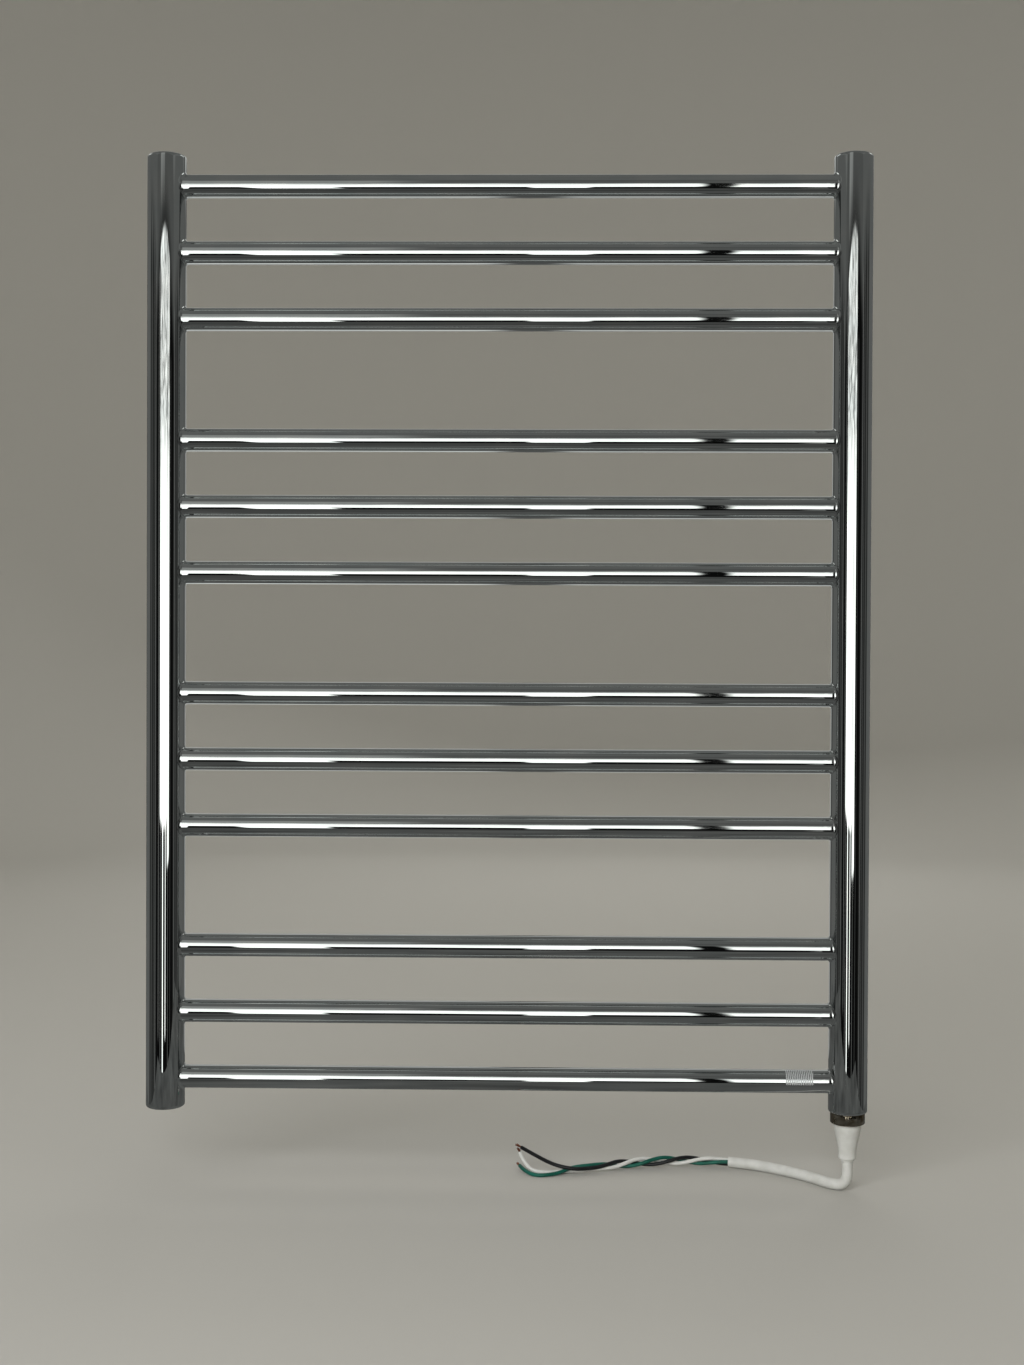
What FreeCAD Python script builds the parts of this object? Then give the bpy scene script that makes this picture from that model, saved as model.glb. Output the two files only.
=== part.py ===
import FreeCAD, Part
import math
import os

# A hardwired ladder towel warmer: two round uprights joined by twelve round bars in
# four groups of three, closed by end caps, heated by a cartridge in the right upright,
# and held off the wall on four stand-off posts. All sizes are in millimetres.
# +X is to the viewer's right, -Y is the front, +Z is up. The origin is the middle of
# the four wall fixings, on the wall's face.

os.makedirs("parts", exist_ok=True)
Vec = FreeCAD.Vector
X_AXIS, Y_AXIS, Z_AXIS = Vec(1, 0, 0), Vec(0, 1, 0), Vec(0, 0, 1)

# The rack
overall_width = 600.0
upright_d = 32.0
upright_wall = 1.5
bar_d = 19.0
bar_wall = 1.2
bar_pitch = 55.0
group_gap = 100.0
bars_in_group = 3
groups = 4
end_margin = 25.0
edge_round = 2.0
wall_to_axis = 56.0

# End caps and the collar that takes the heater
cap_thickness = 3.0
spigot_length = 6.0
spigot_slack = 0.1
collar_bore_d = 21.0

# Wall fixings
fixing_height = 652.0
stub_d = 12.0
stub_length = 10.0
post_d = 16.0
post_front_gap = 3.0
post_socket_depth = 8.0
post_socket_slack = 0.1
wall_stud_hole_d = 8.0
wall_stud_hole_depth = 15.0
rosette_d = 19.0
rosette_thickness = 2.0
grub_d = 4.0
grub_length = 3.5
grub_sunk = 0.3
groove_width = 4.4
groove_depth = 1.6

# Cartridge heater, from the collar down
head_d = 28.5
head_height = 9.0
head_bore_d = 14.0
head_chamfer = 0.6
oring_d = 24.0
oring_section = 1.8
heater_d = 12.0
heater_wall = 0.8
heater_length = 430.0
cold_length = 50.0
coil_d = 7.0
coil_wall = 0.6
coil_length = 330.0
cutout_d = 6.0
cutout_length = 24.0

# Strain relief, a moulded cone from the head down to a lip and a short neck
relief_plug_length = 7.0
relief_profile = [(11.4, 0.0), (11.2, 4.5), (9.7, 11.0), (7.7, 20.5), (7.1, 26.0)]
relief_lip_r = 7.35
relief_length = 29.5
neck_d = 10.6
neck_length = 2.5
lip_round = 0.8

# The cord
sheath_d = 8.8
bundle_d = 6.9
wire_d = 3.2
copper_d = 2.0
copper_length = 6.0

# Places worked out from the sizes above
axis_x = (overall_width - upright_d) / 2
rack_height = groups * (bars_in_group - 1) * bar_pitch + (groups - 1) * group_gap + 2 * end_margin
top_z = rack_height / 2
upright_inner_d = upright_d - 2 * upright_wall
bar_end_x = axis_x - math.sqrt(upright_inner_d ** 2 - bar_d ** 2) / 2
rear_y = -wall_to_axis + upright_d / 2
fixing_z = fixing_height / 2
head_bottom_z = -top_z - head_height
relief_bottom_z = head_bottom_z - relief_length
neck_bottom_z = relief_bottom_z - neck_length


def save(shape, name):
    """Write one piece as its own STEP file."""
    shape.exportStep("parts/" + name + ".step")


def rod(diameter, length, start, direction):
    return Part.makeCylinder(diameter / 2, length, start, direction)


def tube(outer_d, inner_d, length, start, direction):
    return rod(outer_d, length, start, direction).cut(rod(inner_d, length, start, direction))


def rounded_rod(diameter, length, start, direction, radius):
    """A rod whose far edge is rounded."""
    body = rod(diameter, length, start, direction)
    far = start + direction * length
    edges = [e for e in body.Edges if e.Closed and (e.CenterOfMass - far).Length < 0.01]
    return body.makeFillet(radius, edges)


def bar_heights():
    """Heights of the bars from the top down."""
    heights = []
    z = top_z - end_margin
    for number in range(groups * bars_in_group):
        heights.append(z)
        last_of_group = number % bars_in_group == bars_in_group - 1
        z -= group_gap if last_of_group else bar_pitch
    return heights


def fixing_places():
    """The four fixings: top left, top right, bottom left, bottom right."""
    return [(x, z) for z in (fixing_z, -fixing_z) for x in (-axis_x, axis_x)]


def upright(side):
    """A tube between its two caps, drilled on its inner side for the bars."""
    length = rack_height - 2 * cap_thickness
    x = side * axis_x
    start = Vec(x, -wall_to_axis, -length / 2)
    body = tube(upright_d, upright_inner_d, length, start, Z_AXIS)
    for z in bar_heights():
        body = body.cut(rod(bar_d, upright_d, Vec(x, -wall_to_axis, z), X_AXIS * -side))
    return body


def bar(z):
    start = Vec(-bar_end_x, -wall_to_axis, z)
    return tube(bar_d, bar_d - 2 * bar_wall, 2 * bar_end_x, start, X_AXIS)


def cap(side, end):
    """A turned disc with a rounded outer edge and a spigot that fits inside the tube."""
    outward = Z_AXIS * end
    seat = Vec(side * axis_x, -wall_to_axis, end * (top_z - cap_thickness))
    disc = rounded_rod(upright_d, cap_thickness, seat, outward, edge_round)
    spigot_d = upright_inner_d - 2 * spigot_slack
    return disc.fuse(rod(spigot_d, spigot_length, seat, outward * -1)).removeSplitter()


def collar():
    """The bottom right cap, bored through for the heater's threaded shank."""
    whole = cap(1, -1)
    reach = cap_thickness + spigot_length
    return whole.cut(rod(collar_bore_d, reach, Vec(axis_x, -wall_to_axis, -top_z), Z_AXIS))


def mounting_stub(x, z):
    """A short boss, shaped to the upright's round back, with a groove for a grub screw."""
    start = Vec(x, rear_y - upright_d / 4, z)
    body = rod(stub_d, stub_length + upright_d / 4, start, Y_AXIS)
    clear = Vec(x, -wall_to_axis, z - stub_d)
    body = body.cut(rod(upright_d, 2 * stub_d, clear, Z_AXIS))
    groove_start = Vec(x, grub_places()[0] - groove_width / 2, z)
    return body.cut(tube(stub_d, stub_d - 2 * groove_depth, groove_width, groove_start, Y_AXIS))


def post(x, z):
    """A stand-off sleeve: a socket over the stub in front, a blind stud hole behind."""
    front = rear_y + post_front_gap
    back = -rosette_thickness
    body = rounded_rod(post_d, back - front, Vec(x, back, z), Y_AXIS * -1, 1.0)
    socket_d = stub_d + 2 * post_socket_slack
    body = body.cut(rod(socket_d, post_socket_depth, Vec(x, front, z), Y_AXIS))
    hole_start = Vec(x, back - wall_stud_hole_depth, z)
    body = body.cut(rod(wall_stud_hole_d, wall_stud_hole_depth, hole_start, Y_AXIS))
    for y in grub_places():
        body = body.cut(rod(grub_d, post_d / 2, Vec(x, y, z), Z_AXIS * -1))
    return body


def grub_places():
    """One screw grips the stub, the other the wall stud."""
    front = rear_y + post_front_gap
    return [front + post_socket_depth / 2, -rosette_thickness - wall_stud_hole_depth / 2]


def grub_screw(x, y, z):
    """A set screw flush in the underside of a post, with a hexagon socket."""
    start = Vec(x, y, z - post_d / 2 + grub_sunk)
    body = rod(grub_d, grub_length - grub_sunk, start, Z_AXIS)
    return body.cut(hexagon(grub_d / 2, grub_length / 2, start))


def hexagon(across_flats, depth, start):
    radius = across_flats / math.sqrt(3)
    corners = [start + Vec(radius * math.cos(a), radius * math.sin(a), 0)
               for a in (math.radians(60 * k) for k in range(7))]
    return Part.Face(Part.makePolygon(corners)).extrude(Z_AXIS * depth)


def rosette(x, z):
    body = rounded_rod(rosette_d, rosette_thickness, Vec(x, 0, z), Y_AXIS * -1, 0.8)
    return body.cut(rod(wall_stud_hole_d, rosette_thickness, Vec(x, 0, z), Y_AXIS * -1))


def on_right(z):
    """A point on the right upright's axis."""
    return Vec(axis_x, -wall_to_axis, z)


def heater_head():
    """The heater's plated brass head: a ring below the collar and a shank inside it."""
    ring = rod(head_d, head_height, on_right(head_bottom_z), Z_AXIS)
    rims = [e for e in ring.Edges if e.Closed]
    ring = ring.makeChamfer(head_chamfer, rims)
    shank = rod(collar_bore_d, cap_thickness + spigot_length, on_right(-top_z), Z_AXIS)
    body = ring.fuse(shank)
    groove = Part.makeTorus(oring_d / 2, oring_section / 2, on_right(-top_z - oring_section / 2))
    channel_d = oring_d + oring_section
    channel = tube(channel_d, channel_d - 2 * oring_section, oring_section,
                   on_right(-top_z - oring_section), Z_AXIS)
    body = body.cut(channel).cut(groove)
    head_length = head_height + cap_thickness + spigot_length
    seat_length = heater_wall * 3
    bore = rod(head_bore_d, head_length - seat_length, on_right(head_bottom_z), Z_AXIS)
    neck = rod(heater_d, head_length, on_right(head_bottom_z), Z_AXIS)
    return body.cut(bore).cut(neck)


def oring():
    return Part.makeTorus(oring_d / 2, oring_section / 2, on_right(-top_z - oring_section / 2))


def heater_start():
    return -top_z + cap_thickness + spigot_length - heater_wall * 3


def heater_sheath():
    """A stainless tube with a domed, closed top."""
    start = on_right(heater_start())
    straight = rod(heater_d, heater_length, start, Z_AXIS)
    dome = Part.makeSphere(heater_d / 2, start + Z_AXIS * heater_length)
    inside_d = heater_d - 2 * heater_wall
    hollow = rod(inside_d, heater_length, start, Z_AXIS)
    return straight.fuse(dome).cut(hollow).removeSplitter()


def heater_core():
    """Pressed magnesium oxide round the coil and the thermal cut-out."""
    inside_d = heater_d - 2 * heater_wall
    body = rod(inside_d, heater_length, on_right(heater_start()), Z_AXIS)
    return body.cut(coil_space()).cut(thermal_cutout())


def coil_space():
    start = on_right(heater_start() + cold_length)
    return tube(coil_d, coil_d - 2 * coil_wall, coil_length, start, Z_AXIS)


def thermal_cutout():
    return rod(cutout_d, cutout_length, on_right(heater_start()), Z_AXIS)


def strain_relief():
    """A turned profile: plug inside the head, flared cone, lip and neck."""
    points = [Vec(r, 0, -z) for r, z in relief_profile]
    flare = Part.BSplineCurve()
    flare.interpolate(points)
    lip_top = Vec(relief_lip_r, 0, -(relief_length - lip_round * 2))
    lip_bottom = Vec(relief_lip_r, 0, -relief_length)
    neck_top = Vec(neck_d / 2, 0, -relief_length)
    neck_bottom = Vec(neck_d / 2, 0, -relief_length - neck_length)
    foot = Vec(0, 0, -relief_length - neck_length)
    plug_r = head_bore_d / 2
    plug_top = Vec(plug_r, 0, relief_plug_length)
    outline = [points[-1], lip_top, lip_bottom, neck_top, neck_bottom, foot,
               Vec(0, 0, relief_plug_length), plug_top, Vec(plug_r, 0, 0), points[0]]
    sides = [Part.makeLine(a, b) for a, b in zip(outline, outline[1:])]
    face = Part.Face(Part.Wire([flare.toShape()] + sides))
    body = face.revolve(Vec(0, 0, 0), Z_AXIS, 360)
    body.translate(on_right(head_bottom_z))
    return body


def inner_leads():
    """Three short leads in the head, from the moulding to the cut-out and the core."""
    bottom = head_bottom_z + relief_plug_length
    leads = []
    for turn in range(3):
        angle = math.radians(90 + 120 * turn)
        offset = Vec(math.cos(angle), math.sin(angle), 0) * (head_bore_d / 8)
        leads.append(rod(wire_d / 2, heater_start() - bottom, on_right(bottom) + offset, Z_AXIS))
    return Part.makeCompound(leads)


def cord_tube(points, diameter, name):
    """Straight runs joined by arcs that are tangent to both runs."""
    stops = [Vec(*p) for p in points]
    runs = [(b - a).Length for a, b in zip(stops, stops[1:])]
    edges = []
    radii = []
    here = stops[0]
    for i in range(1, len(stops) - 1):
        before = (stops[i] - stops[i - 1]).normalize()
        after = (stops[i + 1] - stops[i]).normalize()
        half_turn = before.getAngle(after) / 2
        reach = 0.45 * min(runs[i - 1], runs[i])
        radius = reach / math.tan(half_turn)
        arc_start = stops[i] - before * reach
        arc_end = stops[i] + after * reach
        inward = (after - before).normalize()
        middle = stops[i] + inward * (radius / math.cos(half_turn) - radius)
        edges.append(Part.LineSegment(here, arc_start).toShape())
        edges.append(Part.Arc(arc_start, middle, arc_end).toShape())
        radii.append(radius)
        here = arc_end
    edges.append(Part.LineSegment(here, stops[-1]).toShape())
    path = Part.Wire(edges)
    start_direction = stops[1] - stops[0]
    section = Part.Wire(Part.makeCircle(diameter / 2, stops[0], start_direction))
    body = path.makePipeShell([section], True, False)
    wanted = math.pi * diameter ** 2 / 4 * path.Length
    print(name, "length", round(path.Length, 1), "volume ratio", round(body.Volume / wanted, 4),
          "radii", [round(r, 1) for r in radii])
    return body


# Routes, from the strain relief's neck to the bare ends. The floor is 4.4 under the
# sheath's flat stretch. The sheath leaves the neck straight down, turns on the floor
# just below it and runs left and back towards the wall.
sheath_route = [(284, -56, -436), (284, -56, -444.3), (280.3, -59.2, -451),
                (272.6, -60.8, -453.6), (261, -56, -453.6), (244, -37.5, -453.6),
                (224, -19.5, -453.6), (208, -9.2, -453.6), (191, -6.6, -453.6)]
bundle_route = [(191, -6.6, -453.6), (172.2, -3.72, -453.6), (146, -4.6, -454.5),
                (118, -9.5, -454.5), (90, -18, -454.5), (63, -26.5, -454)]
end_routes = {
    "black": [(50.5, -26.5, -452), (37, -21.5, -449), (24.5, -13.5, -443.5),
              (15, -9.5, -438.8), (8.5, -8.5, -436)],
    "white": [(50.5, -29.8, -455.3), (38, -31, -455.6), (25.5, -28.5, -454),
              (15.5, -18.5, -448), (8, -10.5, -442.5)],
    "green": [(51, -34.7, -454.9), (39, -37.5, -456.4), (26.5, -36.5, -456.4),
              (15, -26, -456), (7, -12, -454)],
}
end_turns = {"black": 60, "white": 180, "green": 300}


def bundle_end_offset(colour):
    """Where a wire's centre lies on the bundle's end face, from the bundle's centre."""
    along = (Vec(*bundle_route[-1]) - Vec(*bundle_route[-2])).normalize()
    up = (Z_AXIS - along * Z_AXIS.dot(along)).normalize()
    side = along.cross(up)
    turn = math.radians(end_turns[colour])
    return (up * math.cos(turn) + side * math.sin(turn)) * (wire_d / math.sqrt(3))


def wire_end(colour):
    """A wire's own stretch, from its place on the bundle's end face to its cut end."""
    start = Vec(*bundle_route[-1]) + bundle_end_offset(colour)
    along = (Vec(*bundle_route[-1]) - Vec(*bundle_route[-2])).normalize()
    lead = start + along * 5.5
    points = [tuple(start), tuple(lead)] + end_routes[colour]
    return cord_tube(points, wire_d, colour + " wire end")


def copper_tip(colour):
    last, before = Vec(*end_routes[colour][-1]), Vec(*end_routes[colour][-2])
    return rod(copper_d, copper_length, last, (last - before).normalize())


for side, name in ((-1, "left"), (1, "right")):
    save(upright(side), "upright_" + name)
for number, height in enumerate(bar_heights(), 1):
    save(bar(height), "bar_%02d" % number)
save(cap(-1, 1), "end_cap_top_left")
save(cap(1, 1), "end_cap_top_right")
save(cap(-1, -1), "end_cap_bottom_left")
save(collar(), "heater_collar")

corner_names = ("top_left", "top_right", "bottom_left", "bottom_right")
for corner, (x, z) in zip(corner_names, fixing_places()):
    save(mounting_stub(x, z), "mounting_stub_" + corner)
    save(post(x, z), "wall_post_" + corner)
    save(rosette(x, z), "wall_rosette_" + corner)
screws = [grub_screw(x, y, z) for x, z in fixing_places() for y in grub_places()]
save(Part.makeCompound(screws), "grub_screws")

save(heater_head(), "heater_head")
save(oring(), "head_o_ring")
save(heater_sheath(), "heater_sheath")
save(heater_core(), "heater_core")
save(coil_space(), "resistance_coil")
save(thermal_cutout(), "thermal_cutout")
save(inner_leads(), "inner_leads")
save(strain_relief(), "strain_relief")

save(cord_tube(sheath_route, sheath_d, "sheath"), "flex_sheath")
save(cord_tube(bundle_route, bundle_d, "bundle"), "twisted_wires")
for colour in end_routes:
    save(wire_end(colour), "wire_end_" + colour)
    save(copper_tip(colour), "copper_tip_" + colour)

print("rack height", rack_height, "bars at", [round(z, 1) for z in bar_heights()])
print("neck bottom", neck_bottom_z)
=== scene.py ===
import math
import random

import bmesh
import bpy
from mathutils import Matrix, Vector


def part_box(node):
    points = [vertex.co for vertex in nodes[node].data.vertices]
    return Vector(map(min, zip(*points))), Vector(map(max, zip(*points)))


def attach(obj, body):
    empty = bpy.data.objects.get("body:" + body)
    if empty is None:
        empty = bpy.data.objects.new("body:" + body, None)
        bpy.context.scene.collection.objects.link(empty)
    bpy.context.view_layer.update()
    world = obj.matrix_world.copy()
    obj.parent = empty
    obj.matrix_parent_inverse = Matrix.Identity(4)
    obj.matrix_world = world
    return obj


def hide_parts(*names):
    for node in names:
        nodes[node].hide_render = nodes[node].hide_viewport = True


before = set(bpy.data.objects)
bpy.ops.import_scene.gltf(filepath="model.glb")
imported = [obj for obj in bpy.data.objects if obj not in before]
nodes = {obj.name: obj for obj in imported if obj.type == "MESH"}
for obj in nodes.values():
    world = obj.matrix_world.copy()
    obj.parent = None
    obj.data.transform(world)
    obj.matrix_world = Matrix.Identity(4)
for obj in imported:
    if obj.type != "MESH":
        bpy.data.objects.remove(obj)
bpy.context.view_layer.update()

# A chromed ladder towel warmer: two round uprights, twelve round bars, turned caps, a
# heater head with its strain relief, and a short white flex whose three wires are bare
# at their ends. Everything is in metres; MM turns millimetres into them.
# +X is to the viewer's right, -Y is the front, +Z is up.

MM = 0.001

# Sizes read from the frame
right_low, right_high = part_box("upright_right")
upright_r = (right_high.x - right_low.x) / 2
axis_x = (right_low.x + right_high.x) / 2
axis_y = (right_low.y + right_high.y) / 2
tube_bottom, tube_top = right_low.z, right_high.z
rack_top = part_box("end_cap_top_right")[1].z
rack_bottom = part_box("heater_collar")[0].z
bar_names = ["bar_%02d" % number for number in range(1, 13)]
bar_low, bar_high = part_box(bar_names[0])
bar_r = (bar_high.z - bar_low.z) / 2
bar_end = bar_high.x
bar_heights = [(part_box(name)[0].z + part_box(name)[1].z) / 2 for name in bar_names]
head_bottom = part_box("heater_head")[0].z
floor_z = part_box("flex_sheath")[0].z

# Sizes that the frame doesn't give
upright_wall = 1.5 * MM
bar_wall = 1.2 * MM
fillet_r = 1.8 * MM
cap_thickness = rack_top - tube_top
spigot_length = 6 * MM
spigot_play = 0.1 * MM
edge_round = 2 * MM
chamfer = 0.6 * MM
collar_bore_r = 10.5 * MM
head_r = 14.25 * MM
sheath_r = 4.4 * MM
sheath_wall = 0.9 * MM
wire_r = 1.6 * MM
strand_r = 0.2 * MM
strand_count = 12


# ---------------------------------------------------------------- modelling helpers

def deselect_all():
    bpy.ops.object.select_all(action="DESELECT")


def only(piece):
    """Make one piece the selected and active one."""
    deselect_all()
    piece.select_set(True)
    bpy.context.view_layer.objects.active = piece


def settle(piece):
    """Put a piece's place into its mesh."""
    only(piece)
    bpy.ops.object.transform_apply(location=True, rotation=True, scale=True)


def apply_modifier(piece, kind, **settings):
    """Give a piece a modifier with these settings and apply it at once."""
    only(piece)
    modifier = piece.modifiers.new(kind.title(), kind)
    for name, value in settings.items():
        setattr(modifier, name, value)
    bpy.ops.object.modifier_apply(modifier=modifier.name)


def smooth(piece, degrees=35):
    """Shade a piece smooth, apart from edges sharper than this."""
    only(piece)
    bpy.ops.object.shade_smooth_by_angle(angle=math.radians(degrees))


def rounded(radius, height, corner, first, last, steps=8):
    """Points of an arc in an outline, about the centre (radius, height)."""
    turns = [math.radians(first + (last - first) * step / steps) for step in range(steps + 1)]
    return [(radius + corner * math.cos(turn), height + corner * math.sin(turn)) for turn in turns]


def turned(name, outline, steps=128, closed=False):
    """Spin an outline of (radius, height) points once round the Z axis."""
    deselect_all()
    bpy.ops.mesh.primitive_plane_add(size=MM)
    piece = bpy.context.object
    piece.name = name
    path = outline + outline[:1] if closed else outline
    bpy.ops.object.mode_set(mode="EDIT")
    bpy.ops.mesh.merge(type="CENTER")
    bpy.ops.transform.translate(value=(path[0][0], 0, path[0][1]))
    for here, there in zip(path, path[1:]):
        step = (there[0] - here[0], 0, there[1] - here[1])
        bpy.ops.mesh.extrude_vertices_move(TRANSFORM_OT_translate={"value": step})
    bpy.ops.mesh.select_all(action="SELECT")
    bpy.ops.mesh.spin(steps=steps, angle=2 * math.pi, center=(0, 0, 0), axis=(0, 0, 1))
    bpy.ops.mesh.select_all(action="SELECT")
    bpy.ops.mesh.remove_doubles(threshold=MM / 1000)
    bpy.ops.mesh.normals_make_consistent(inside=False)
    bpy.ops.object.mode_set(mode="OBJECT")
    return piece


def placed(piece, place, turn=(0, 0, 0)):
    """Turn a piece, move it to its place and put that into its mesh."""
    piece.location = place
    piece.rotation_euler = [math.radians(degrees) for degrees in turn]
    settle(piece)
    return piece


def copied(piece, name, move=(0, 0, 0), turn=(0, 0, 0)):
    """A copy with its own mesh, turned and moved to its own place."""
    twin = piece.copy()
    twin.data = piece.data.copy()
    twin.name = name
    bpy.context.scene.collection.objects.link(twin)
    return placed(twin, move, turn)


def finish_piece(piece, material, slot, *replaced):
    """Give a piece its finish, hang it under the root body and hide the nodes of the frame that it
    stands for.
    """
    piece.data.materials.clear()
    piece.data.materials.append(material)
    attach(piece, "root")
    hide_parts(*replaced)
    return piece


# ---------------------------------------------------------------- material helpers

def linear(colour):
    """Turn an sRGB hex value into linear red, green, blue and alpha."""
    channels = [int(colour[place:place + 2], 16) / 255 for place in (0, 2, 4)]
    return [c / 12.92 if c <= 0.04045 else ((c + 0.055) / 1.055) ** 2.4 for c in channels] + [1.0]


def add_node(tree, kind, links=None, output=0, **settings):
    """Add a node, set its own properties, set or link its inputs, and return an output."""
    node = tree.nodes.new("ShaderNode" + kind)
    for name, value in settings.items():
        setattr(node, name, value)
    for name, value in (links or {}).items():
        if isinstance(value, bpy.types.NodeSocket):
            tree.links.new(value, node.inputs[name])
        else:
            node.inputs[name].default_value = value
    return node.outputs[output]


def new_material(name, **surface):
    """A material with its shader's own sockets set, its tree, shader and Object coordinates."""
    material = bpy.data.materials.new(name)
    material.use_nodes = True
    tree = material.node_tree
    shader = tree.nodes["Principled BSDF"]
    for socket, value in surface.items():
        shader.inputs[socket.replace("_", " ")].default_value = value
    return material, tree, shader, add_node(tree, "TexCoord", output="Object")


def pattern_scale(size_mm):
    """Texture scale whose features are about this many millimetres."""
    return 1 / (size_mm * MM)


def band(tree, value, low, high, soft):
    """1 between low and high and 0 outside, with soft edges."""
    rise = add_node(tree, "MapRange", {"Value": value, "From Min": low - soft,
                                       "From Max": low + soft}, interpolation_type="SMOOTHSTEP")
    fall = add_node(tree, "MapRange", {"Value": value, "From Min": high - soft,
                                       "From Max": high + soft, "To Min": 1.0, "To Max": 0.0},
                    interpolation_type="SMOOTHSTEP")
    return add_node(tree, "Math", {0: rise, 1: fall}, operation="MULTIPLY")


def weathered(tree, shader, pattern, colours, roughness, depth_mm, strength):
    """Let one pattern drift a surface's colour and roughness, and another stand out of it."""
    drift, relief = pattern
    share = add_node(tree, "MapRange", {"Value": drift, "From Min": 0.38, "From Max": 0.64})
    tint = add_node(tree, "Mix", {0: share, 6: linear(colours[0]), 7: linear(colours[1])},
                    output=2, data_type="RGBA")
    rough = add_node(tree, "MapRange", {"Value": share, "To Min": roughness[0],
                                        "To Max": roughness[1]})
    normal = add_node(tree, "Bump", {"Height": relief, "Distance": depth_mm * MM,
                                     "Strength": strength})
    tree.links.new(tint, shader.inputs["Base Color"])
    tree.links.new(rough, shader.inputs["Roughness"])
    tree.links.new(normal, shader.inputs["Normal"])
    return rough


# ---------------------------------------------------------------- materials

def polished_chrome(name="polished_chrome"):
    """Chromium plate on buffed steel tube: a cool mirror whose only marks are wiping smears
    and the slow waviness that buffing leaves, which makes straight reflections tremble."""
    material, tree, shader, place = new_material(name, Metallic=1.0, Roughness=0.03,
                                                 Base_Color=linear("C6C9C9"))
    smear = add_node(tree, "TexNoise", {"Vector": place, "Scale": pattern_scale(34),
                                        "Detail": 5})
    waves = add_node(tree, "TexNoise", {"Vector": place, "Scale": pattern_scale(26),
                                        "Detail": 1})
    rough = weathered(tree, shader, (smear, waves), ("C2C6C6", "CACCCB"), (0.012, 0.04),
                      0.05, 0.16)
    return material, tree, shader, place, rough


def etched_chrome(bar_z):
    """The same plate with a small etched patch near the bar's right end: frosted, with
    upright hatch strokes and no lettering."""
    patch_left, patch_right = 231.5 * MM, 254.5 * MM
    stroke_pitch = 1.5 * MM
    material, tree, shader, place, rough = polished_chrome("polished_chrome_with_etched_patch")
    x, y, z = add_node(tree, "SeparateXYZ", {"Vector": place}).node.outputs
    across = band(tree, x, patch_left, patch_right, 0.4 * MM)
    front = band(tree, y, axis_y - 1.2 * bar_r, axis_y - 0.05 * bar_r, 0.2 * MM)
    upper = band(tree, z, bar_z - 0.1 * bar_r, bar_z + 0.97 * bar_r, 0.3 * MM)
    face = add_node(tree, "Math", {0: across, 1: front}, operation="MULTIPLY")
    patch = add_node(tree, "Math", {0: face, 1: upper}, operation="MULTIPLY")
    ragged = add_node(tree, "TexNoise", {"Vector": place, "Scale": pattern_scale(2.2),
                                         "Detail": 3})
    stroke = add_node(tree, "Math", {0: ragged, 1: 0.9 * MM, 2: x}, operation="MULTIPLY_ADD")
    phase = add_node(tree, "Math", {0: stroke, 1: 2 * math.pi / stroke_pitch},
                     operation="MULTIPLY")
    wave = add_node(tree, "Math", {0: phase}, operation="SINE")
    hatch = add_node(tree, "MapRange", {"Value": wave, "From Min": -0.4, "From Max": 0.4,
                                        "To Min": 0.15, "To Max": 0.7})
    etch = add_node(tree, "Math", {0: patch, 1: hatch}, operation="MULTIPLY")
    matt = add_node(tree, "Math", {0: etch, 1: rough}, operation="ADD")
    metal = add_node(tree, "MapRange", {"Value": etch, "To Min": 1.0, "To Max": 0.15})
    tree.links.new(matt, shader.inputs["Roughness"])
    tree.links.new(metal, shader.inputs["Metallic"])
    return material


def stainless_steel():
    """Turned stainless steel: greyer and softer than chrome, with rings from the lathe. They
    are drawn coarser than a tool leaves them, so that they show."""
    material, tree, shader, place = new_material("turned_stainless_steel", Metallic=1.0,
                                                 Roughness=0.28, Base_Color=linear("B9B8B5"))
    along = add_node(tree, "Mapping", {"Vector": place, "Scale": (0.08, 0.08, 1.0)})
    rings = add_node(tree, "TexNoise", {"Vector": along, "Scale": pattern_scale(0.5),
                                        "Detail": 3})
    weathered(tree, shader, (rings, rings), ("BCBBB8", "B2B1AE"), (0.2, 0.38), 0.01, 0.5)
    return material


def nickel_plated_brass():
    """Nickel plate on turned brass: warmer and duller than chrome, with brown tarnish where
    it has been handled. Its lathe rings are drawn coarser than real ones, so that they show."""
    material, tree, shader, place = new_material("nickel_plated_brass", Metallic=1.0,
                                                 Roughness=0.16, Base_Color=linear("A39A88"))
    stain = add_node(tree, "TexNoise", {"Vector": place, "Scale": pattern_scale(7),
                                        "Detail": 6})
    along = add_node(tree, "Mapping", {"Vector": place, "Scale": (0.05, 0.05, 1.0)})
    rings = add_node(tree, "TexNoise", {"Vector": along, "Scale": pattern_scale(0.6),
                                        "Detail": 2})
    weathered(tree, shader, (stain, rings), ("A8A193", "75654C"), (0.07, 0.17), 0.012, 0.5)
    return material


def plastic(name, colours, roughness, grain_mm, grain_depth_mm, **surface):
    """A moulded or extruded plastic: a slight drift in colour and a fine grain, which is
    drawn coarser than a mould or die leaves it, so that it shows."""
    material, tree, shader, place = new_material(name, Roughness=roughness, IOR=1.5,
                                                 Base_Color=linear(colours[0]), **surface)
    drift = add_node(tree, "TexNoise", {"Vector": place, "Scale": pattern_scale(9),
                                        "Detail": 4})
    grain = add_node(tree, "TexNoise", {"Vector": place, "Scale": pattern_scale(grain_mm),
                                        "Detail": 3})
    weathered(tree, shader, (drift, grain), colours, (roughness * 0.85, roughness * 1.2),
              grain_depth_mm, 0.5)
    return material


def bare_copper():
    """Drawn copper strand: pink and bright, browner where the air has reached it."""
    material, tree, shader, place = new_material("bare_copper_strand", Metallic=1.0,
                                                 Roughness=0.32, Base_Color=linear("C98B6B"))
    tarnish = add_node(tree, "TexNoise", {"Vector": place, "Scale": pattern_scale(1.6),
                                          "Detail": 4})
    weathered(tree, shader, (tarnish, tarnish), ("D08B68", "93492F"), (0.24, 0.42), 0.02, 0.4)
    return material


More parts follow.
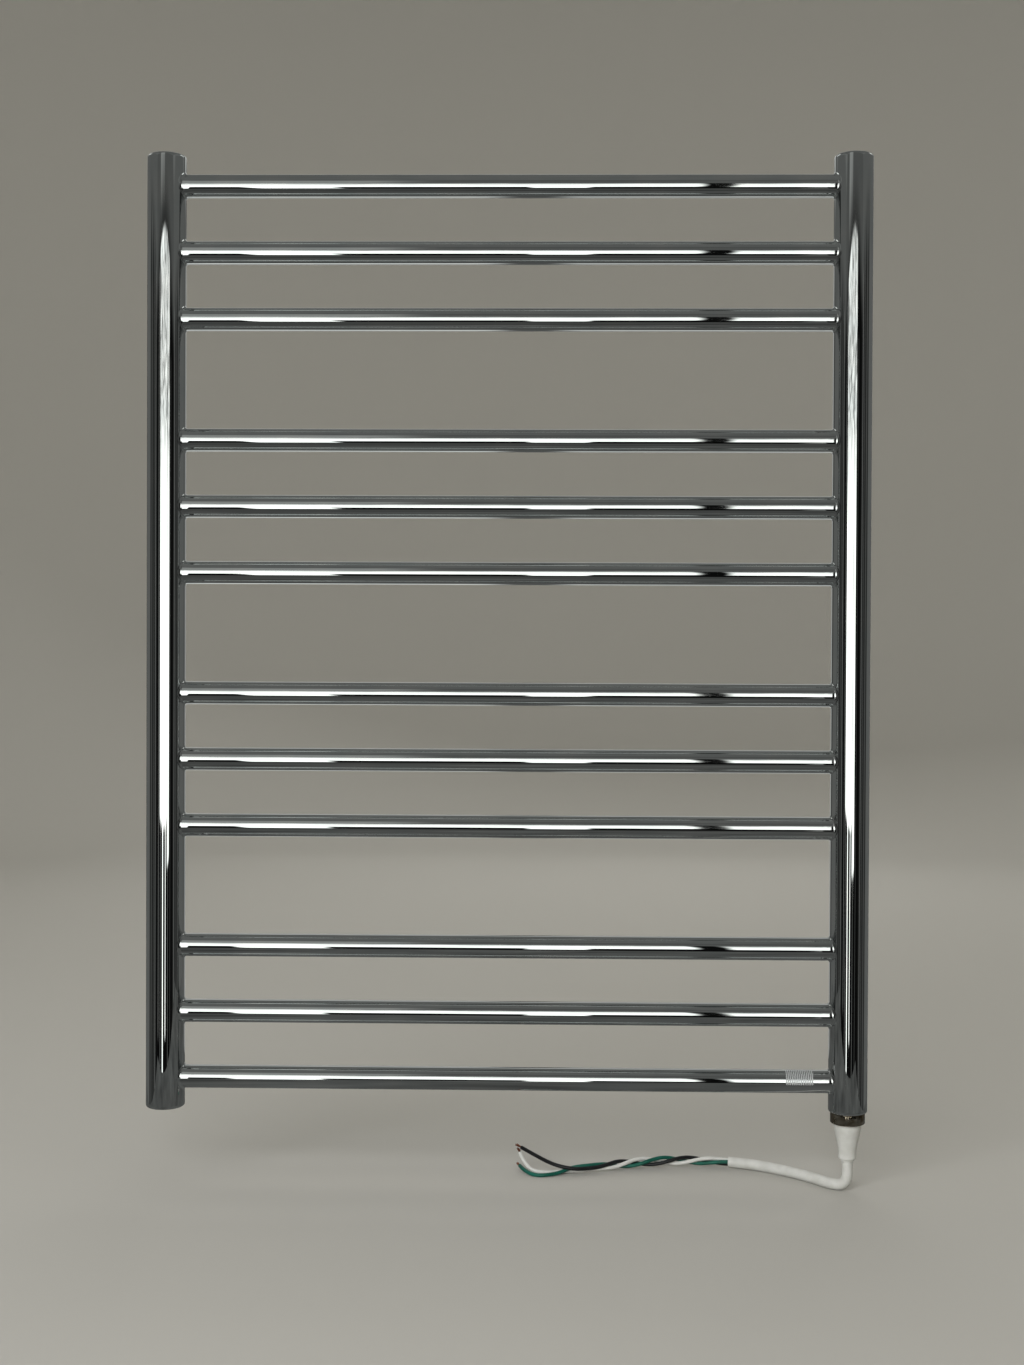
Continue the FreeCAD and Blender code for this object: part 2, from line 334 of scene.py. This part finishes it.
chrome = polished_chrome()[0]
chrome_etched = etched_chrome(bar_heights[-1])
steel = stainless_steel()
nickel = nickel_plated_brass()
# Moulded black nitrile: matt, with a faint bloom.
rubber = plastic("moulded_black_rubber", ("1A1A1A", "242321"), 0.6, 0.4, 0.02)
# Pressed magnesium oxide powder: chalky and quite matt.
magnesia = plastic("pressed_magnesia", ("DDD9CE", "CFCABC"), 0.85, 0.3, 0.06)
# Moulded white nylon: slightly translucent and satin, as a spark-eroded mould leaves it.
nylon = plastic("moulded_white_nylon", ("DCDCD6", "D2D2CB"), 0.4, 0.35, 0.015,
                Subsurface_Weight=0.15, Subsurface_Radius=(0.002, 0.002, 0.0018),
                Subsurface_Scale=1.0)
# Extruded flexible PVC: a dull shine with long soft drag marks from the die.
pvc = plastic("white_pvc_sheath", ("D8D8D2", "CCCCC5"), 0.42, 1.6, 0.05)
black_pvc = plastic("black_wire_insulation", ("121314", "1B1C1D"), 0.34, 1.2, 0.03)
white_pvc = plastic("white_wire_insulation", ("DEDED8", "D2D2CC"), 0.38, 1.2, 0.03)
green_pvc = plastic("green_wire_insulation", ("0B5142", "156454"), 0.34, 1.2, 0.03)
copper = bare_copper()


# ---------------------------------------------------------------- uprights and bars

def make_upright():
    """The left upright: an open tube with its wall, drilled on its inner side."""
    deselect_all()
    bpy.ops.mesh.primitive_cylinder_add(
        vertices=160, radius=upright_r, depth=tube_top - tube_bottom, end_fill_type="NOTHING",
        location=(-axis_x, axis_y, (tube_top + tube_bottom) / 2))
    tube = bpy.context.object
    tube.name = "left_upright_tube"
    settle(tube)
    apply_modifier(tube, "SOLIDIFY", thickness=upright_wall, offset=-1)
    drills = []
    # Each drill is as long as the tube's radius and stops short of its axis, so that only
    # the inner side is pierced.
    for height in bar_heights:
        bpy.ops.mesh.primitive_cylinder_add(
            vertices=96, radius=bar_r, depth=upright_r, rotation=(0, math.pi / 2, 0),
            location=(upright_r * 0.75 - axis_x, axis_y, height))
        drills.append(bpy.context.object)
    deselect_all()
    for drill in drills:
        drill.select_set(True)
    bpy.context.view_layer.objects.active = drills[0]
    bpy.ops.object.join()
    settle(drills[0])
    apply_modifier(tube, "BOOLEAN", operation="DIFFERENCE", object=drills[0], solver="EXACT")
    bpy.data.objects.remove(drills[0])
    smooth(tube)
    return tube


def select_ring(piece, place):
    """Select a half bar's ring of corners at one distance along the bar."""
    bpy.ops.object.mode_set(mode="EDIT")
    bpy.ops.mesh.select_all(action="DESELECT")
    mesh = bmesh.from_edit_mesh(piece.data)
    for corner in mesh.verts:
        corner.select = abs(corner.co.x - place) < MM / 100
    mesh.select_flush_mode()
    bmesh.update_edit_mesh(piece.data)


def press_ring(piece, place, target, stand_off, name):
    """Push a ring of corners along the bar until it lies this far off the target."""
    select_ring(piece, place)
    piece.vertex_groups.new(name=name)
    bpy.ops.object.vertex_group_assign()
    bpy.ops.object.mode_set(mode="OBJECT")
    apply_modifier(piece, "SHRINKWRAP", target=target, wrap_method="PROJECT",
                   wrap_mode="ON_SURFACE", use_project_x=True, use_project_y=False,
                   use_project_z=False, use_positive_direction=True,
                   use_negative_direction=False, offset=stand_off, vertex_group=name)
    piece.vertex_groups.clear()


def make_bar():
    """One tube, saddled to the uprights with a polished fillet of weld at each end. Half of
    it is turned, its end rings are pressed to the upright's side, and it is mirrored."""
    deselect_all()
    bpy.ops.mesh.primitive_cylinder_add(vertices=360, radius=upright_r, depth=6 * bar_r,
                                        location=(axis_x, axis_y, 0))
    side_of_tube = bpy.context.object
    settle(side_of_tube)
    fillet_steps = 6
    ring_gap = 0.3 * MM
    first_ring = axis_x - upright_r - 6 * MM
    root_ring = first_ring + 2.4 * MM
    root_depth = 0.4 * MM
    rings = []
    for step in range(fillet_steps + 1):
        turn = math.radians(90 * step / fillet_steps)
        rings.append((bar_r + fillet_r * (1 - math.cos(turn)), fillet_r * (1 - math.sin(turn))))
    # Two plain rings before the fillet keep the long straight part's shading even.
    outline = [(bar_r, 0), (bar_r, first_ring - 20 * MM), (bar_r, first_ring - 2 * MM)]
    outline += [(radius, first_ring + step * ring_gap) for step, (radius, _) in enumerate(rings)]
    outline += [(bar_r, root_ring), (bar_r, bar_end), (bar_r - bar_wall, bar_end),
                (bar_r - bar_wall, 0)]
    bar = placed(turned("bar_blank", outline, steps=112), (0, axis_y, 0), (0, 90, 0))
    for step, (_, stand_off) in enumerate(rings):
        press_ring(bar, first_ring + step * ring_gap, side_of_tube, stand_off, "fillet")
    press_ring(bar, root_ring, side_of_tube, -root_depth, "root")
    bpy.data.objects.remove(side_of_tube)
    apply_modifier(bar, "MIRROR", use_mirror_merge=True, merge_threshold=MM / 100)
    smooth(bar, 40)
    return bar


left_upright = make_upright()
right_upright = copied(left_upright, "right_upright_tube", (0, 2 * axis_y, 0), (0, 0, 180))
finish_piece(left_upright, chrome, "polished_chrome", "upright_left")
finish_piece(right_upright, chrome, "polished_chrome", "upright_right")

bar_blank = make_bar()
for number, (bar_name, bar_z) in enumerate(zip(bar_names, bar_heights), 1):
    towel_bar = copied(bar_blank, "towel_bar_%02d" % number, (0, 0, bar_z))
    bar_finish = chrome_etched if bar_name == bar_names[-1] else chrome
    finish_piece(towel_bar, bar_finish, "polished_chrome", bar_name)
bpy.data.objects.remove(bar_blank)


# ---------------------------------------------------------------- caps, head and relief

def cap_outline(bore):
    """Disc with a rounded rim, and a spigot with a lead-in chamfer, above and below z = 0."""
    spigot_r = upright_r - upright_wall - spigot_play
    face = upright_r - edge_round
    rim = rounded(face, cap_thickness - edge_round, edge_round, 0, 90)
    body = [(spigot_r - chamfer, -spigot_length), (spigot_r, chamfer - spigot_length),
            (spigot_r, 0), (upright_r, 0)]
    face_ring = [(face - 0.8 * MM, cap_thickness)]
    return [(bore, -spigot_length)] + body + rim + face_ring + [(bore, cap_thickness)]


def make_caps():
    """The three closed caps, turned once and copied."""
    blank = turned("cap_blank", cap_outline(0))
    smooth(blank)
    for name, side, end, node in (("top_left_cap", -1, 1, "end_cap_top_left"),
                                  ("top_right_cap", 1, 1, "end_cap_top_right"),
                                  ("bottom_left_cap", -1, -1, "end_cap_bottom_left")):
        turn = (0, 0, 0) if end > 0 else (180, 0, 0)
        cap = copied(blank, name, (side * axis_x, axis_y, end * tube_top), turn)
        finish_piece(cap, chrome, "polished_chrome", node)
    bpy.data.objects.remove(blank)


def make_collar():
    """The bottom right cap, bored through for the heater head's shank."""
    collar = turned("heater_collar_ring", cap_outline(collar_bore_r), closed=True)
    placed(collar, (axis_x, axis_y, tube_bottom), (180, 0, 0))
    smooth(collar)
    return finish_piece(collar, chrome, "polished_chrome", "heater_collar")


def make_heater_head():
    """A turned ring with chamfered rims and an O-ring groove, and the shank above it."""
    height = rack_bottom - head_bottom
    bore_r, tip_bore_r, tip_wall = 7 * MM, 6 * MM, 2.4 * MM
    groove_out, groove_in, groove_depth = 12.9 * MM, 11.1 * MM, 1.8 * MM
    shank_top = cap_thickness + spigot_length
    seat = shank_top - tip_wall
    outline = [(bore_r, -height), (head_r - chamfer, -height), (head_r, chamfer - height),
               (head_r, -chamfer), (head_r - chamfer, 0), (groove_out, 0),
               (groove_out, -groove_depth), (groove_in, -groove_depth), (groove_in, 0),
               (collar_bore_r, 0), (collar_bore_r, shank_top), (tip_bore_r, shank_top),
               (tip_bore_r, seat), (bore_r, seat)]
    head = placed(turned("heater_head_ring", outline, closed=True), (axis_x, axis_y, rack_bottom))
    apply_modifier(head, "BEVEL", width=0.12 * MM, segments=2, limit_method="ANGLE",
                   angle_limit=math.radians(30))
    smooth(head)
    return finish_piece(head, nickel, "nickel_plated_brass", "heater_head")


def make_strain_relief():
    """A moulded cone: plug in the head, flange, flared sides, lip and neck. Its outline
    is in millimetres, from the plug down to the neck's end."""
    corner = 0.35 * MM
    flare = [(11.4, -1.1), (11.25, -4.6), (10.2, -9.4), (8.55, -15.8), (7.5, -21.5), (7.2, -26)]
    outline = [(0, 7), (7, 7), (7, 0), (11.2, 0), (11.4, -0.2)] + flare
    outline += [(7.4, -27.4), (7.4, -29.5), (5.3, -29.5), (5.3, -32), (0, -32)]
    outline = [(radius * MM, height * MM) for radius, height in outline]
    relief = placed(turned("strain_relief_moulding", outline, steps=64),
                    (axis_x, axis_y, head_bottom))
    apply_modifier(relief, "BEVEL", width=corner, segments=2, limit_method="ANGLE",
                   angle_limit=math.radians(40))
    apply_modifier(relief, "SUBSURF", levels=1, render_levels=1)
    smooth(relief, 60)
    return finish_piece(relief, nylon, "white_nylon", "strain_relief")


make_caps()
make_collar()
make_heater_head()
make_strain_relief()


# ---------------------------------------------------------------- flex and wires

# Routes in metres. The sheath leaves the neck straight down, turns on the floor just
# below it and runs left and back; the wires come out of it twisted together, then fan.
sheath_route = [(0.284, -0.056, -0.436), (0.284, -0.0574, -0.442), (0.283, -0.0614, -0.4486),
                (0.279, -0.0644, -0.4532), (0.2715, -0.062, -0.4536), (0.263, -0.0525, -0.4536),
                (0.254, -0.0415, -0.4536), (0.244, -0.0325, -0.4536), (0.228, -0.0196, -0.4536),
                (0.2096, -0.0096, -0.4532), (0.191, -0.0062, -0.4526)]
bundle_route = [(0.191, -0.0062, -0.4526), (0.1722, -0.005, -0.4518), (0.146, -0.0056, -0.4516),
                (0.118, -0.0095, -0.4519), (0.090, -0.018, -0.4526)]
end_routes = {
    "black": [(0.066, -0.0286, -0.4534), (0.0525, -0.0316, -0.4516), (0.040, -0.0285, -0.4494),
              (0.027, -0.0205, -0.4452), (0.0165, -0.013, -0.4416), (0.013, -0.011, -0.4402)],
    "white": [(0.066, -0.025, -0.456), (0.052, -0.0236, -0.4563), (0.038, -0.029, -0.4564),
              (0.023, -0.0295, -0.4554), (0.015, -0.020, -0.4495), (0.012, -0.0125, -0.4445)],
    "green": [(0.066, -0.025, -0.4512), (0.0535, -0.0258, -0.4536), (0.044, -0.0322, -0.4563),
              (0.027, -0.0385, -0.4564), (0.017, -0.028, -0.4562), (0.012, -0.016, -0.4545)],
}
# The wires are wound left-handed. The twist starts slowly at the sheath's end, swells a
# little along the way, slows again where the wires part and is gone where they fan out.
twist_pitch = 62 * MM
twist_r = 2 * wire_r / math.sqrt(3)
twist_starts = {"white": -45, "green": 75, "black": 195}
twist_lag = 9 * MM
twist_swell = 0.42
parting_start, parting_end = 96 * MM, 128 * MM
slowing_length = 50 * MM


def route_curve(name, points):
    """A smooth NURBS line with the route's points as its control points."""
    data = bpy.data.curves.new(name, "CURVE")
    data.dimensions = "3D"
    data.resolution_u = 24
    spline = data.splines.new("NURBS")
    spline.points.add(len(points) - 1)
    for place, point in zip(points, spline.points):
        point.co = (*place, 1)
    spline.order_u = 3
    spline.use_endpoint_u = True
    curve = bpy.data.objects.new(name, data)
    bpy.context.scene.collection.objects.link(curve)
    return curve


def line_of(curve):
    """The points that a curve with no bevel runs through."""
    mesh = bpy.data.meshes.new_from_object(curve)
    points = [corner.co.copy() for corner in mesh.vertices]
    bpy.data.meshes.remove(mesh)
    return points


def tube_mesh(name, lines, radius, caps=True, sides=6):
    """A mesh tube round each line of points."""
    data = bpy.data.curves.new(name, "CURVE")
    data.dimensions = "3D"
    data.bevel_depth = radius
    data.bevel_resolution = sides
    data.use_fill_caps = caps
    for line in lines:
        spline = data.splines.new("POLY")
        spline.points.add(len(line) - 1)
        for place, point in zip(line, spline.points):
            point.co = (*place, 1)
    tube = bpy.data.objects.new(name, data)
    bpy.context.scene.collection.objects.link(tube)
    only(tube)
    bpy.ops.object.convert(target="MESH")
    bpy.ops.object.mode_set(mode="EDIT")
    bpy.ops.mesh.select_all(action="SELECT")
    bpy.ops.mesh.remove_doubles(threshold=MM / 1000)
    bpy.ops.mesh.normals_make_consistent(inside=False)
    bpy.ops.object.mode_set(mode="OBJECT")
    return tube


def travelled(points):
    """How far along the line each point is."""
    total, along = 0.0, [0.0]
    for here, there in zip(points, points[1:]):
        total += (there - here).length
        along.append(total)
    return along


def twist_turn(reach):
    """Degrees that a wire has wound when it has come this far."""
    slow_start = twist_lag * (1 - math.exp(-reach / twist_lag))
    slow_end = max(0, reach - parting_start) ** 2 / (2 * slowing_length)
    return 360 * (reach - slow_start - slow_end) / twist_pitch


def twisted(points, start_degrees):
    """The line of one wire, wound round its route until the wires part."""
    along = travelled(points)
    line = []
    for number, (point, reach) in enumerate(zip(points, along)):
        ahead = points[min(number + 1, len(points) - 1)]
        behind = points[max(number - 1, 0)]
        forward = (ahead - behind).normalized()
        up = (Vector((0, 0, 1)) - forward * forward.z).normalized()
        front = up.cross(forward)
        turn = math.radians(start_degrees + twist_turn(reach))
        fade = min(1, max(0, (parting_end - reach) / (parting_end - parting_start)))
        swell = 1 + twist_swell * math.sin(math.pi * min(1, reach / parting_end))
        size = twist_r * swell * fade * fade * (3 - 2 * fade)
        line.append(point + (up * math.cos(turn) + front * math.sin(turn)) * size)
    return line


def wire_line(colour):
    """The middle line of one wire, from the sheath's end to its own cut end."""
    route = bundle_route + end_routes[colour]
    curve = route_curve("route_" + colour, route)
    line = twisted(line_of(curve), twist_starts[colour])
    bpy.data.objects.remove(curve)
    return line


def make_sheath():
    """The flex's outer tube, cut off square so that its wall shows round the wires."""
    curve = route_curve("route_sheath", sheath_route)
    line = line_of(curve)
    bpy.data.objects.remove(curve)
    sheath = tube_mesh("flex_outer_sheath", [line], sheath_r, caps=False, sides=10)
    apply_modifier(sheath, "SOLIDIFY", thickness=sheath_wall, offset=-1)
    apply_modifier(sheath, "BEVEL", width=0.15 * MM, segments=2, limit_method="ANGLE",
                   angle_limit=math.radians(60))
    smooth(sheath, 50)
    finish_piece(sheath, pvc, "white_pvc_sheath", "flex_sheath")
    travelled(line)[-1]


def make_strands(colour, line):
    """Fine copper strands that stand out of a wire's cut end and splay a little. They
    spiral out from the wire's centre, a golden angle apart."""
    core_r = 0.78 * MM
    golden_angle = 137.5
    hidden_length = 0.8 * MM
    draw = random.Random(len(colour))
    tip = line[-1]
    forward = (line[-1] - line[-4]).normalized()
    up = (Vector((0, 0, 1)) - forward * forward.z).normalized()
    side = forward.cross(up)
    strands = []
    for number in range(strand_count):
        turn = math.radians(golden_angle * number)
        out = core_r * math.sqrt((number + 0.3) / strand_count)
        splay = draw.uniform(1.1, 2.4)
        reach = draw.uniform(4.2, 6.0) * MM
        strand = []
        for step in range(7):
            share = step / 6
            around = turn + 0.7 * share
            size = out * (1 + (splay - 1) * share * share)
            offset = up * math.cos(around) * size + side * math.sin(around) * size
            along = reach * share - hidden_length * (1 - share)
            strand.append(tip + forward * along + offset)
        strands.append(strand)
    copper_piece = tube_mesh(colour + "_wire_strands", strands, strand_r, sides=2)
    smooth(copper_piece, 60)
    finish_piece(copper_piece, copper, "bare_copper", "copper_tip_" + colour)
    return copper_piece


def make_wire(colour, finish, slot, *replaced):
    """One insulated wire, with the copper strands that stand out of its end."""
    line = wire_line(colour)
    wire = tube_mesh(colour + "_wire", [line], wire_r, sides=8)
    smooth(wire, 60)
    finish_piece(wire, finish, slot, *replaced)
    strands = make_strands(colour, line)
    travelled(line)[-1]


make_sheath()
make_wire("black", black_pvc, "black_insulation", "wire_end_black", "twisted_wires")
make_wire("white", white_pvc, "white_insulation", "wire_end_white")
make_wire("green", green_pvc, "green_insulation", "wire_end_green")


# ---------------------------------------------------------------- nodes kept from the frame

kept_finishes = {"mounting_stub": chrome, "wall_post": chrome, "wall_rosette": chrome,
                 "grub_screws": steel, "head_o_ring": rubber, "heater_sheath": steel,
                 "heater_core": magnesia, "resistance_coil": steel, "thermal_cutout": steel,
                 "inner_leads": white_pvc}
for node_name, node in nodes.items():
    for start, finish in kept_finishes.items():
        if node_name.startswith(start):
            for slot_place in node.material_slots:
                slot_place.material = finish


# ---------------------------------------------------------------- studio

def stage_material(name, colour, roughness):
    """Matt studio paint; it is see-through from its outer side, so views from below work."""
    material, tree, shader, _ = new_material(name, Base_Color=linear(colour),
                                             Roughness=roughness, Specular_IOR_Level=0.1)
    outside = add_node(tree, "NewGeometry", output="Backfacing")
    clear = add_node(tree, "BsdfTransparent")
    mix = add_node(tree, "MixShader", {0: outside, 1: shader.outputs[0], 2: clear})
    tree.links.new(mix, tree.nodes["Material Output"].inputs["Surface"])
    return material


def make_studio():
    """A round seamless room: pale floor, coved walls and ceiling, lit from inside. Polished
    metal sees the reflection cards instead of it."""
    radius, cove, height = 3.3, 0.9, 3.4
    outline = [(0, 0), (radius - cove, 0)] + rounded(radius - cove, cove, cove, -90, 0, 12)[1:]
    outline += rounded(radius - cove, height - cove, cove, 0, 90, 12) + [(0, height)]
    room = placed(turned("studio_room", outline, steps=96), (0, 0, floor_z))
    only(room)
    bpy.ops.object.mode_set(mode="EDIT")
    bpy.ops.mesh.select_all(action="SELECT")
    bpy.ops.mesh.normals_make_consistent(inside=True)
    bpy.ops.object.mode_set(mode="OBJECT")
    bpy.ops.object.shade_smooth()
    room.data.materials.append(stage_material("studio_paint", "BFBDB6", 0.9))
    room.visible_glossy = False


def soft_light(name, place, aim, width, height, power, colour):
    """A square-cornered lamp that lights the room but is neither seen nor mirrored."""
    data = bpy.data.lights.new(name, "AREA")
    data.shape = "RECTANGLE"
    data.size, data.size_y = width, height
    data.energy = power
    data.color = linear(colour)[:3]
    light = bpy.data.objects.new(name, data)
    light.location = place
    light.rotation_euler = (Vector(aim) - Vector(place)).to_track_quat("-Z", "Y").to_euler()
    light.visible_camera = False
    light.visible_glossy = False
    bpy.context.scene.collection.objects.link(light)


def reflection_card(name, size, place, turn):
    """A card that only polished surfaces see, as a studio sets one up beside its lights."""
    deselect_all()
    bpy.ops.mesh.primitive_plane_add(size=1)
    card = bpy.context.object
    card.name = name
    card.scale = (size[0], size[1], 1)
    placed(card, place, turn)
    card.visible_camera = False
    card.visible_diffuse = False
    card.visible_shadow = False
    card.visible_transmission = False
    card.visible_volume_scatter = False
    return card


def card_tree(card):
    """Give a card a material that only glows; returns its tree and Object coordinates."""
    material = bpy.data.materials.new(card.name + "_light")
    material.use_nodes = True
    tree = material.node_tree
    tree.nodes.remove(tree.nodes["Principled BSDF"])
    card.data.materials.append(material)
    return tree, add_node(tree, "TexCoord", output="Object")


def glow(tree, strength):
    """Let a card shine this strongly, in a white that is faintly green."""
    light = add_node(tree, "Emission", {"Color": linear("F4F6F2"), "Strength": strength})
    tree.links.new(light, tree.nodes["Material Output"].inputs["Surface"])


def patches(tree, across, up, areas, ground):
    """Sum of soft-edged rectangles (left, right, bottom, top, strength, softness) over a
    ground strength."""
    total = ground
    for left, right, bottom, top, strength, soft in areas:
        wide = band(tree, across, left, right, soft)
        tall = band(tree, up, bottom, top, soft)
        share = add_node(tree, "Math", {0: wide, 1: tall}, operation="MULTIPLY")
        total = add_node(tree, "Math", {0: share, 1: strength, 2: total},
                         operation="MULTIPLY_ADD")
    return total


# The cards' shared tones. The lower edge of the far walls lies well below the floor's
# level, because polished uprights look past the edge of the small pale floor card.
card_bottom, card_top = -2.6, 2.8
dark_from, dark_to = -1.2, 0.92
dark_tone, low_tone, high_tone = 0.006, 0.09, 0.12


def wall_areas(left, right):
    """Grey below and above the level of the panes, with one soft paler stripe high up."""
    return [(left, right, card_bottom - 0.5, dark_from, low_tone, 0.06),
            (left, right, dark_to, card_top + 0.5, high_tone, 0.12),
            (left, right, 1.34, 1.52, 0.1, 0.09)]


def front_card():
    """Two bright panes with a dark post between them, in a dark wall. The panes are dimmer
    and streaky at the top; below them a few slivers of light run down."""
    card = reflection_card("front_reflection_card", (5.0, card_top - card_bottom),
                           (0, -2.25, (card_top + card_bottom) / 2), (90, 0, 0))
    tree, place = card_tree(card)
    x, _, z = add_node(tree, "SeparateXYZ", {"Vector": place}).node.outputs
    stretched = add_node(tree, "Mapping", {"Vector": place, "Scale": (1.0, 1.0, 3.5)})
    streaks = add_node(tree, "TexNoise", {"Vector": stretched, "Scale": pattern_scale(240),
                                          "Detail": 3, "Distortion": 1.5})
    streaky = add_node(tree, "MapRange", {"Value": streaks, "From Min": 0.4, "From Max": 0.6,
                                          "To Min": 0.45, "To Max": 2.0})
    height = add_node(tree, "MapRange", {"Value": z, "From Min": 0.34, "From Max": 0.52})
    light = add_node(tree, "Mix", {0: height, 2: 2.6, 3: streaky}, data_type="FLOAT")
    panes = patches(tree, x, z, [(-1.25, 0.36, -0.37, 0.88, 1.0, 0.015),
                                 (0.43, 0.93, -0.47, 0.88, 0.95, 0.015)], 0.0)
    slivers = [(-0.62, -0.43, -1.0, -0.36, 2.6, 0.012), (0.0, 0.13, -0.82, -0.36, 2.4, 0.012),
               (-1.72, -1.62, -0.9, 0.88, 0.4, 0.02), (-1.12, -1.07, -1.1, -0.36, 0.5, 0.012),
               (0.62, 0.68, -1.1, -0.46, 0.3, 0.012), (1.3, 1.38, -1.1, 0.7, 0.12, 0.012),
               (-1.25, -0.3, 1.0, 2.4, 0.26, 0.1)]
    ground = patches(tree, x, z, slivers + wall_areas(-3, 3), dark_tone)
    glow(tree, add_node(tree, "Math", {0: panes, 1: light, 2: ground},
                        operation="MULTIPLY_ADD"))


def side_card(name, side):
    """A dark side wall with a few upright pale stripes, such as door frames give."""
    card = reflection_card(name, (4.6, card_top - card_bottom),
                           (side * 2.5, 0, (card_top + card_bottom) / 2), (90, 0, 90))
    tree, place = card_tree(card)
    _, y, z = add_node(tree, "SeparateXYZ", {"Vector": place}).node.outputs
    stripes = [(-1.75, -1.61, -1.1, dark_to, 0.25, 0.02), (-1.1, -1.05, -1.1, dark_to, 0.2, 0.02),
               (-0.5, -0.2, -1.1, dark_to, 0.07, 0.03), (0.2, 2.4, -1.1, dark_to, 0.13, 0.1),
               (0.5, 2.0, 1.5, 2.3, 1.5, 0.08), (1.2, 1.26, 1.4, 2.4, -1.4, 0.02)]
    glow(tree, patches(tree, y, z, stripes + wall_areas(-3, 3), 0.035))


def back_card():
    """A grey wall behind, with two soft panes for the rack's back. They stay weak, since
    from the front they show as a thin line along every rim."""
    card = reflection_card("back_reflection_card", (5.0, card_top - card_bottom),
                           (0, 2.3, (card_top + card_bottom) / 2), (90, 0, 0))
    tree, place = card_tree(card)
    x, _, z = add_node(tree, "SeparateXYZ", {"Vector": place}).node.outputs
    panes = [(-0.95, -0.08, -1.1, 0.9, 0.34, 0.06), (0.08, 0.8, -1.1, 0.9, 0.28, 0.06),
             (-1.6, -0.95, -0.9, 0.9, -0.11, 0.02), (-1.3, 1.3, 1.1, 1.9, 0.6, 0.1),
             (-0.95, -0.08, -2.3, -1.2, 1.0, 0.05), (0.08, 0.8, -2.3, -1.2, 0.8, 0.05)]
    glow(tree, patches(tree, x, z, panes, 0.14))


def level_card(name, size, place, darkest, lightest):
    """A level card whose tone drifts softly between two strengths."""
    tree, spot = card_tree(reflection_card(name, size, place, (0, 0, 0)))
    clouds = add_node(tree, "TexNoise", {"Vector": spot, "Scale": pattern_scale(130),
                                         "Detail": 4})
    glow(tree, add_node(tree, "MapRange", {"Value": clouds, "From Min": 0.3, "From Max": 0.7,
                                           "To Min": darkest, "To Max": lightest}))


make_studio()
front_card()
side_card("left_reflection_card", -1)
side_card("right_reflection_card", 1)
back_card()
level_card("ceiling_card", (5.0, 4.6), (0, 0, card_top), 0.14, 0.2)
level_card("lowest_card", (5.0, 4.6), (0, 0, card_bottom), 0.5 * low_tone, low_tone)
level_card("near_floor_card", (1.1, 0.86), (0, -0.03, floor_z + 1 * MM), 0.075, 0.165)
soft_light("window_light", (-0.9, -2.2, 0.9), (0, 0, 0), 2.4, 1.4, 54, "FBFCFF")
soft_light("top_light", (0.3, 0.2, 2.6), (0, 0, 0), 3.0, 3.0, 20, "FFFDF8")
soft_light("back_light", (0.4, 2.4, 1.0), (0, 0, 0), 2.0, 1.2, 14, "FFFFFF")

camera_data = bpy.data.cameras.new("camera")
camera_data.sensor_width = 36
camera_data.lens = 44.5
camera = bpy.data.objects.new("camera", camera_data)
camera.location = (0.0288, -1.456, -0.0231)
camera.rotation_euler = [math.radians(degrees) for degrees in (89.298, -0.2534, 1.0145)]
bpy.context.scene.collection.objects.link(camera)
bpy.context.scene.camera = camera
bpy.context.scene.view_settings.view_transform = "Standard"
